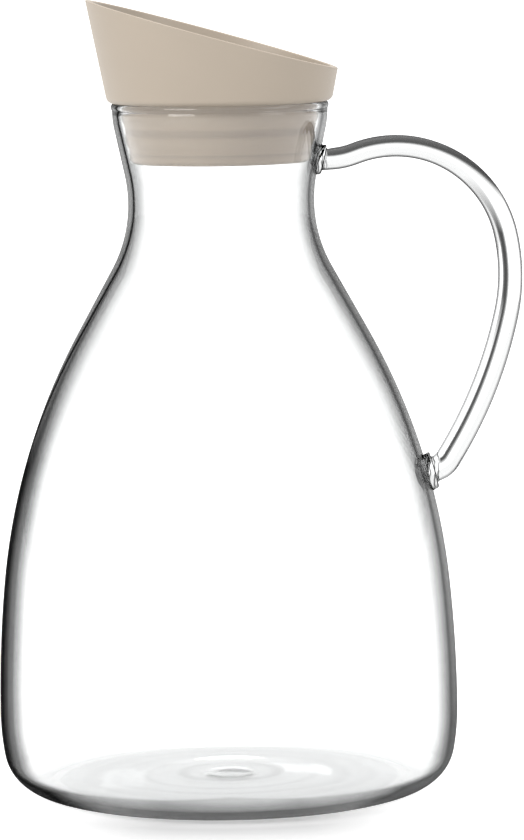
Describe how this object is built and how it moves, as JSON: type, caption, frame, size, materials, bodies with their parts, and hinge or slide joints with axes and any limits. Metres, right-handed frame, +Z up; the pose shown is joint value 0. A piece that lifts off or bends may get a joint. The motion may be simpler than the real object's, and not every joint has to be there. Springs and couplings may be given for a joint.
{
  "type": "infusion carafe",
  "caption": "Bell-shaped glass carafe with a looped glass rod handle and a slanted funnel lid with seal and strainer.",
  "frame": {"origin": "centre of the foot ring, on the table", "axes": "+Z up along the bottle's axis, +X towards the handle, -X towards the high pouring side of the lid"},
  "size_m": [0.1681, 0.146, 0.251],
  "materials": {
    "body_glass": "clear fire-polished borosilicate",
    "handle_glass": "clear drawn borosilicate rod",
    "lid_plastic": "satin warm beige moulding",
    "seal_silicone": "matt warm beige silicone",
    "strainer_steel": "fine brushed stainless steel"
  },
  "bodies": {
    "carafe": {"glass_body": "body_glass", "handle": "handle_glass"},
    "seal": {"lip_seal": "seal_silicone"},
    "lid": {"lid_cup": "lid_plastic", "strainer": "strainer_steel"}
  },
  "joints": [
    {"name": "lid_lift", "type": "slide", "parent": "carafe", "child": "seal", "axis": [0, 0, 1], "range_m": [0, 0.06]},
    {"name": "lid_turn", "type": "hinge", "parent": "seal", "child": "lid", "pos_m": [0, 0, 0.2184], "axis": [0, 0, 1], "continuous": true}
  ]
}
